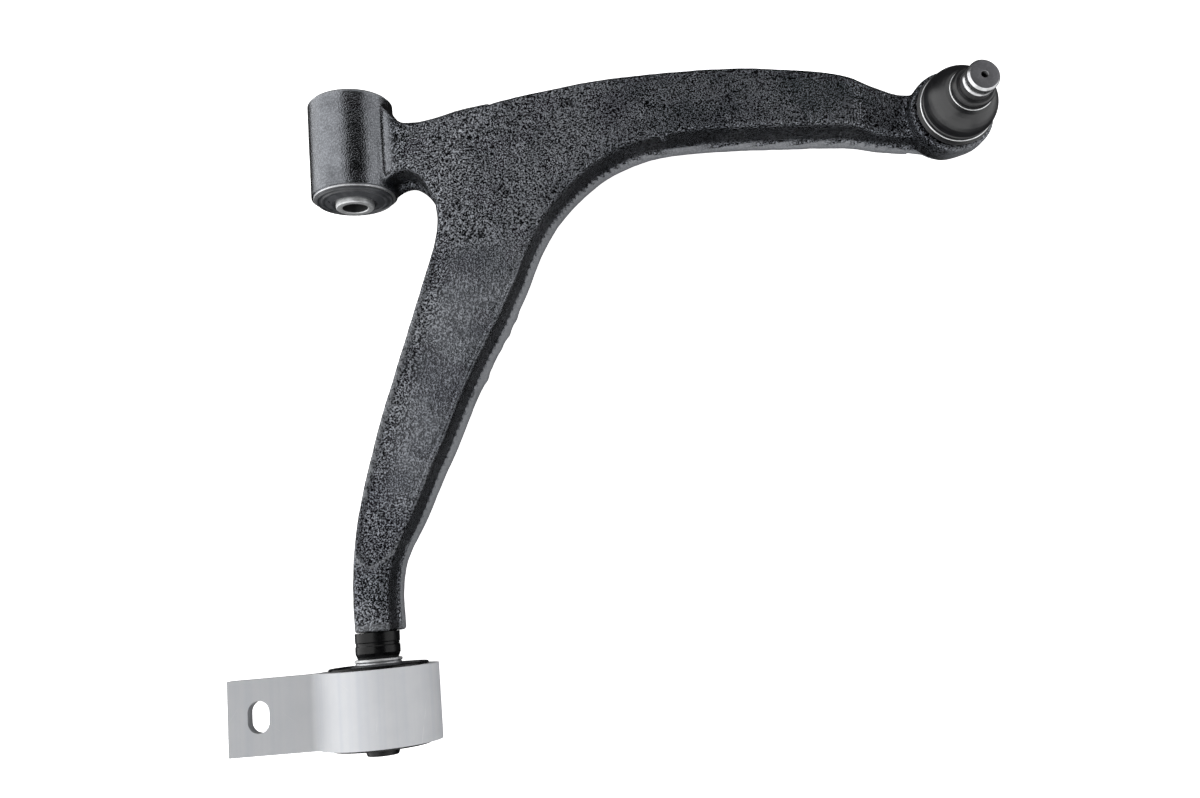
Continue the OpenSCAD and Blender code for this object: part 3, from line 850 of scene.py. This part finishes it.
def bright_steel(name, axis, base=(0.60, 0.61, 0.63), r0=0.20, r1=0.34, facing=False):
    """Turned steel: fine rings round the part's own axis, faint staining."""
    m = Mat(name)
    sep = m.n("ShaderNodeSeparateXYZ")
    rot = m.n("ShaderNodeMapping", vector_type="TEXTURE")
    if axis == "ball":
        rot.inputs["Location"].default_value = tuple(JC)
        rot.inputs["Rotation"].default_value = (0, LEAN, 0)
    m.l(m.tc.outputs["Object"], rot.inputs["Vector"])
    m.l(rot.outputs["Vector"], sep.inputs["Vector"])
    along = sep.outputs["Z"] if axis == "ball" else sep.outputs["Y"]
    u = sep.outputs["X"]
    w = sep.outputs["Y"] if axis == "ball" else sep.outputs["Z"]
    rad = m.math("SQRT", m.math("ADD", m.math("MULTIPLY", u, u), m.math("MULTIPLY", w, w)))
    comb = m.n("ShaderNodeCombineXYZ")
    m.l(m.math("MULTIPLY", along, 1.0), comb.inputs["X"])
    m.l(rad, comb.inputs["Y"])
    rings = m.noise(5200, 2.0, 0.6, 0.0, comb.outputs["Vector"])
    stain = m.noise(210, 4.0, 0.6)
    spots = m.remap(m.voronoi(700), 0.0, 0.08, 1.0, 0.0)
    spots = m.math("MULTIPLY", spots, m.remap(m.noise(300, 2), 0.56, 0.62, 0.0, 0.55))
    dark = tuple(c * 0.62 for c in base)
    # painted shade: inside a bore under about 7.4 mm radius the colour goes near black
    bore_shade = m.remap(rad, 0.0073, 0.00745, 1.0, 0.0)
    col = m.mix(m.remap(stain, 0.38, 0.72, 0, 1), base, dark)
    col = m.mix(spots, col, (0.16, 0.15, 0.14))
    rr = m.math("ADD", m.remap(stain, 0.3, 0.7, r0, r1), m.math("MULTIPLY", rings, 0.10))
    if axis == "y":
        col = m.mix(m.math("MULTIPLY", bore_shade, 0.93), col, (0.03, 0.03, 0.032))
    if axis == "ball" and facing:
        # painted shade: the hole in the stud's end is coloured near black
        hole_shade = m.remap(rad, 0.0019, 0.0021, 1.0, 0.0)
        col = m.mix(m.math("MULTIPLY", hole_shade, 0.9), col, (0.02, 0.02, 0.021))
        end = m.remap(along, 0.05185, 0.05192, 0.0, 1.0)
        col = m.mix(m.math("MULTIPLY", end, m.math("SUBTRACT", 1.0, hole_shade)), col, m.mix(m.noise(900, 2.0), (0.17, 0.17, 0.18), (0.27, 0.27, 0.285)))
        rr = m.math("ADD", rr, m.math("MULTIPLY", end, 0.2))
    m.l(col, m.b.inputs["Base Color"])
    m.l(rr, m.b.inputs["Roughness"])
    m.l(m.bump(rings, 0.30, 0.035), m.b.inputs["Normal"])
    m.set(Metallic=1.0)
    return m.m


def aluminium():
    m = Mat("aluminium_extruded")
    die = m.noise(1.0, 4.0, 0.65, 0.0, m.stretch((950, 7, 950)))
    die2 = m.noise(1.0, 2.0, 0.5, 0.0, m.stretch((210, 3, 210)))
    mott = m.noise(70, 4.0, 0.6)
    fine = m.noise(1500, 3.0, 0.6)
    saw = m.noise(1.0, 2.0, 0.6, 0.0, m.stretch((60, 10, 1800)))
    geo = m.n("ShaderNodeNewGeometry")
    sep = m.n("ShaderNodeSeparateXYZ")
    m.l(geo.outputs["Normal"], sep.inputs["Vector"])
    end = m.remap(m.math("ABSOLUTE", sep.outputs["Y"]), 0.7, 0.9, 0.0, 1.0)
    # handling scratches: thin ridges of warped waves, gated by broad noise
    scr = None
    for i, (ang, sc) in enumerate(((35, 46), (-52, 38), (8, 30))):
        mp = m.n("ShaderNodeMapping")
        mp.inputs["Rotation"].default_value = (0.0, 0.0, math.radians(ang))
        mp.inputs["Location"].default_value = (0.013 * i, 0.021 * i, 0.0)
        m.l(m.tc.outputs["Object"], mp.inputs["Vector"])
        wv = m.n("ShaderNodeTexWave", wave_profile="SIN")
        wv.inputs["Scale"].default_value = sc
        wv.inputs["Distortion"].default_value = 1.6
        wv.inputs["Detail"].default_value = 2.0
        wv.inputs["Detail Scale"].default_value = 0.35
        m.l(mp.outputs["Vector"], wv.inputs["Vector"])
        thin = m.remap(wv.outputs["Fac"], 0.9988, 1.0, 0.0, 1.0)
        gate = m.remap(m.noise(50 + 17 * i, 1.0), 0.64, 0.70, 0.0, 0.8)
        s = m.math("MULTIPLY", thin, gate)
        scr = s if scr is None else m.math("MAXIMUM", scr, s)
    base = m.mix(m.remap(mott, 0.3, 0.7, 0, 1), (0.71, 0.724, 0.752), (0.76, 0.772, 0.795))
    base = m.mix(m.math("MULTIPLY", m.remap(die2, 0.45, 0.7, 0, 1), 0.35), base, (0.60, 0.635, 0.70))
    base = m.mix(end, base, (0.74, 0.75, 0.76))
    base = m.mix(m.math("MULTIPLY", scr, 0.8), base, (0.93, 0.93, 0.93))
    # the wing is painted darker than the ring, a painted shade on the flat plate
    pos = m.n("ShaderNodeSeparateXYZ")
    m.l(m.tc.outputs["Object"], pos.inputs["Vector"])
    base = m.mix(m.remap(pos.outputs["X"], -0.032, -0.004, 0.41, 0.09, "SMOOTHSTEP"), base, (0.0, 0.0, 0.0))
    m.l(base, m.b.inputs["Base Color"])
    r = m.math("ADD", m.remap(mott, 0.3, 0.7, 0.54, 0.64), m.math("MULTIPLY", m.remap(die, 0.3, 0.7, -0.06, 0.08), 1.0))
    m.l(r, m.b.inputs["Roughness"])
    side = m.math("SUBTRACT", 1.0, end)
    h = m.math("MULTIPLY", m.math("ADD", m.math("MULTIPLY", die, 0.8), m.math("MULTIPLY", die2, 1.2)), side)
    h = m.math("ADD", h, m.math("MULTIPLY", m.math("MULTIPLY", saw, end), 1.6))
    h = m.math("ADD", h, m.math("MULTIPLY", fine, 0.35))
    h = m.math("SUBTRACT", h, m.math("MULTIPLY", scr, 0.8))
    m.l(m.bump(h, 0.55, 0.09), m.b.inputs["Normal"])
    m.set(Metallic=0.06, IOR=1.5)
    return m.m


def polymer():
    m = Mat("polymer_seat")
    a = m.noise(160, 3.0, 0.6)
    m.l(m.mix(a, (0.70, 0.68, 0.62), (0.80, 0.78, 0.72)), m.b.inputs["Base Color"])
    m.l(m.remap(a, 0.3, 0.7, 0.42, 0.6), m.b.inputs["Roughness"])
    m.l(m.bump(m.noise(1800, 2), 0.3, 0.04), m.b.inputs["Normal"])
    return m.m


def plain_floor():
    m = Mat("studio_floor")
    a = m.noise(9, 2.0, 0.5)
    m.l(m.mix(a, (0.90, 0.90, 0.90), (0.92, 0.92, 0.92)), m.b.inputs["Base Color"])
    m.set(Roughness=0.9)
    m.b.inputs["Emission Color"].default_value = (1, 1, 1, 1)
    m.b.inputs["Emission Strength"].default_value = 1.0
    return m.m


CAST, BLK, RUB, RUBG = cast_material(), black_steel(), rubber(), rubber_grey()
STUD = bright_steel("stud_steel", "ball", (0.68, 0.685, 0.70), 0.18, 0.32, True)
SLEEVE = bright_steel("sleeve_steel", "y", (0.86, 0.87, 0.88), 0.50, 0.60)
PLATE = bright_steel("plated_steel", "y", (0.74, 0.75, 0.77), 0.36, 0.48)
WIRE = bright_steel("spring_steel", "ball", (0.92, 0.93, 0.94), 0.22, 0.30)
ALU, POLY = aluminium(), polymer()


def paint(o, mat):
    o.data.materials.clear()
    o.data.materials.append(mat)


for o, mat in ((arm, CAST), (fsl, PLATE), (frb, RUBG), (fin, SLEEVE), (pin, BLK), (wsh, SLEEVE), (ris, PLATE),
               (ros, BLK), (rrb, RUBG), (brk, ALU), (hsg, BLK), (stud, STUD), (low, RUB), (top, RUB), (lr, WIRE), (ur, WIRE)):
    paint(o, mat)
for name, mat in (("ball_race_upper", POLY), ("ball_race_lower", POLY), ("ball_race_spring", WIRE),
                  ("ball_joint_cover", PLATE), ("ball_joint_snap_ring", WIRE)):
    for s in nodes[name].material_slots:
        s.material = mat
    smooth_faces = nodes[name].data.polygons
    smooth_faces.foreach_set("use_smooth", [True] * len(smooth_faces))
    nodes[name].data.set_sharp_from_angle(angle=math.radians(30))

# ---------------------------------------------------------------- stage
floor = new_mesh("floor", [(x * 4.0, y * 4.0, cad_box[0][2] - 0.0005) for x, y in ((-1, -1), (1, -1), (1, 1), (-1, 1))], [(0, 1, 2, 3)])
paint(floor, plain_floor())
floor.visible_glossy = False
floor.visible_diffuse = False
floor.visible_shadow = False

world = bpy.data.worlds.new("studio")
scene.world = world
world.use_nodes = True
bg = world.node_tree.nodes["Background"]
bg.inputs["Color"].default_value = (1.0, 1.0, 1.0, 1.0)
bg.inputs["Strength"].default_value = 0.025

CTR = Vector((0.13, -0.14, 0.0))


def softbox(name, deg, az, dist_m, sx, sy, power):
    """Area light seen deg from straight up, towards azimuth az (0 is +X)."""
    d = Vector((math.sin(math.radians(deg)) * math.cos(math.radians(az)),
                math.sin(math.radians(deg)) * math.sin(math.radians(az)), math.cos(math.radians(deg))))
    la = bpy.data.lights.new(name, "AREA")
    la.shape = "RECTANGLE"
    la.size, la.size_y = sx, sy
    la.energy = power
    o = link(bpy.data.objects.new(name, la))
    o.location = CTR + d * dist_m
    o.rotation_mode = "QUATERNION"
    o.rotation_quaternion = (-d).to_track_quat("-Z", "Y")
    return o


softbox("box_top_left", 35, 180, 1.1, 2.4, 1.03, 12.4)
softbox("box_left", 86, 180, 1.1, 2.4, 1.05, 14.9)
softbox("box_right", 80, 0, 1.1, 2.4, 1.27, 12.5)
softbox("box_front", 80, 270, 1.1, 1.8, 1.03, 8.1)
softbox("box_back", 60, 90, 1.3, 1.0, 0.7, 2.2)

cam = bpy.data.cameras.new("camera")
cam.sensor_width = 36.0
cam.lens = 1104.7 * 36.0 / 1200.0
cam.clip_start, cam.clip_end = 0.01, 50.0
co = link(bpy.data.objects.new("camera", cam))


def rodrigues(rv):
    v = Vector(rv)
    return Matrix.Rotation(v.length, 4, v.normalized())


co.matrix_world = Matrix.Translation(Vector((172.83, -277.47, 608.45)) * MM) @ rodrigues((0.18063, 0.07207, -0.0966))
scene.camera = co
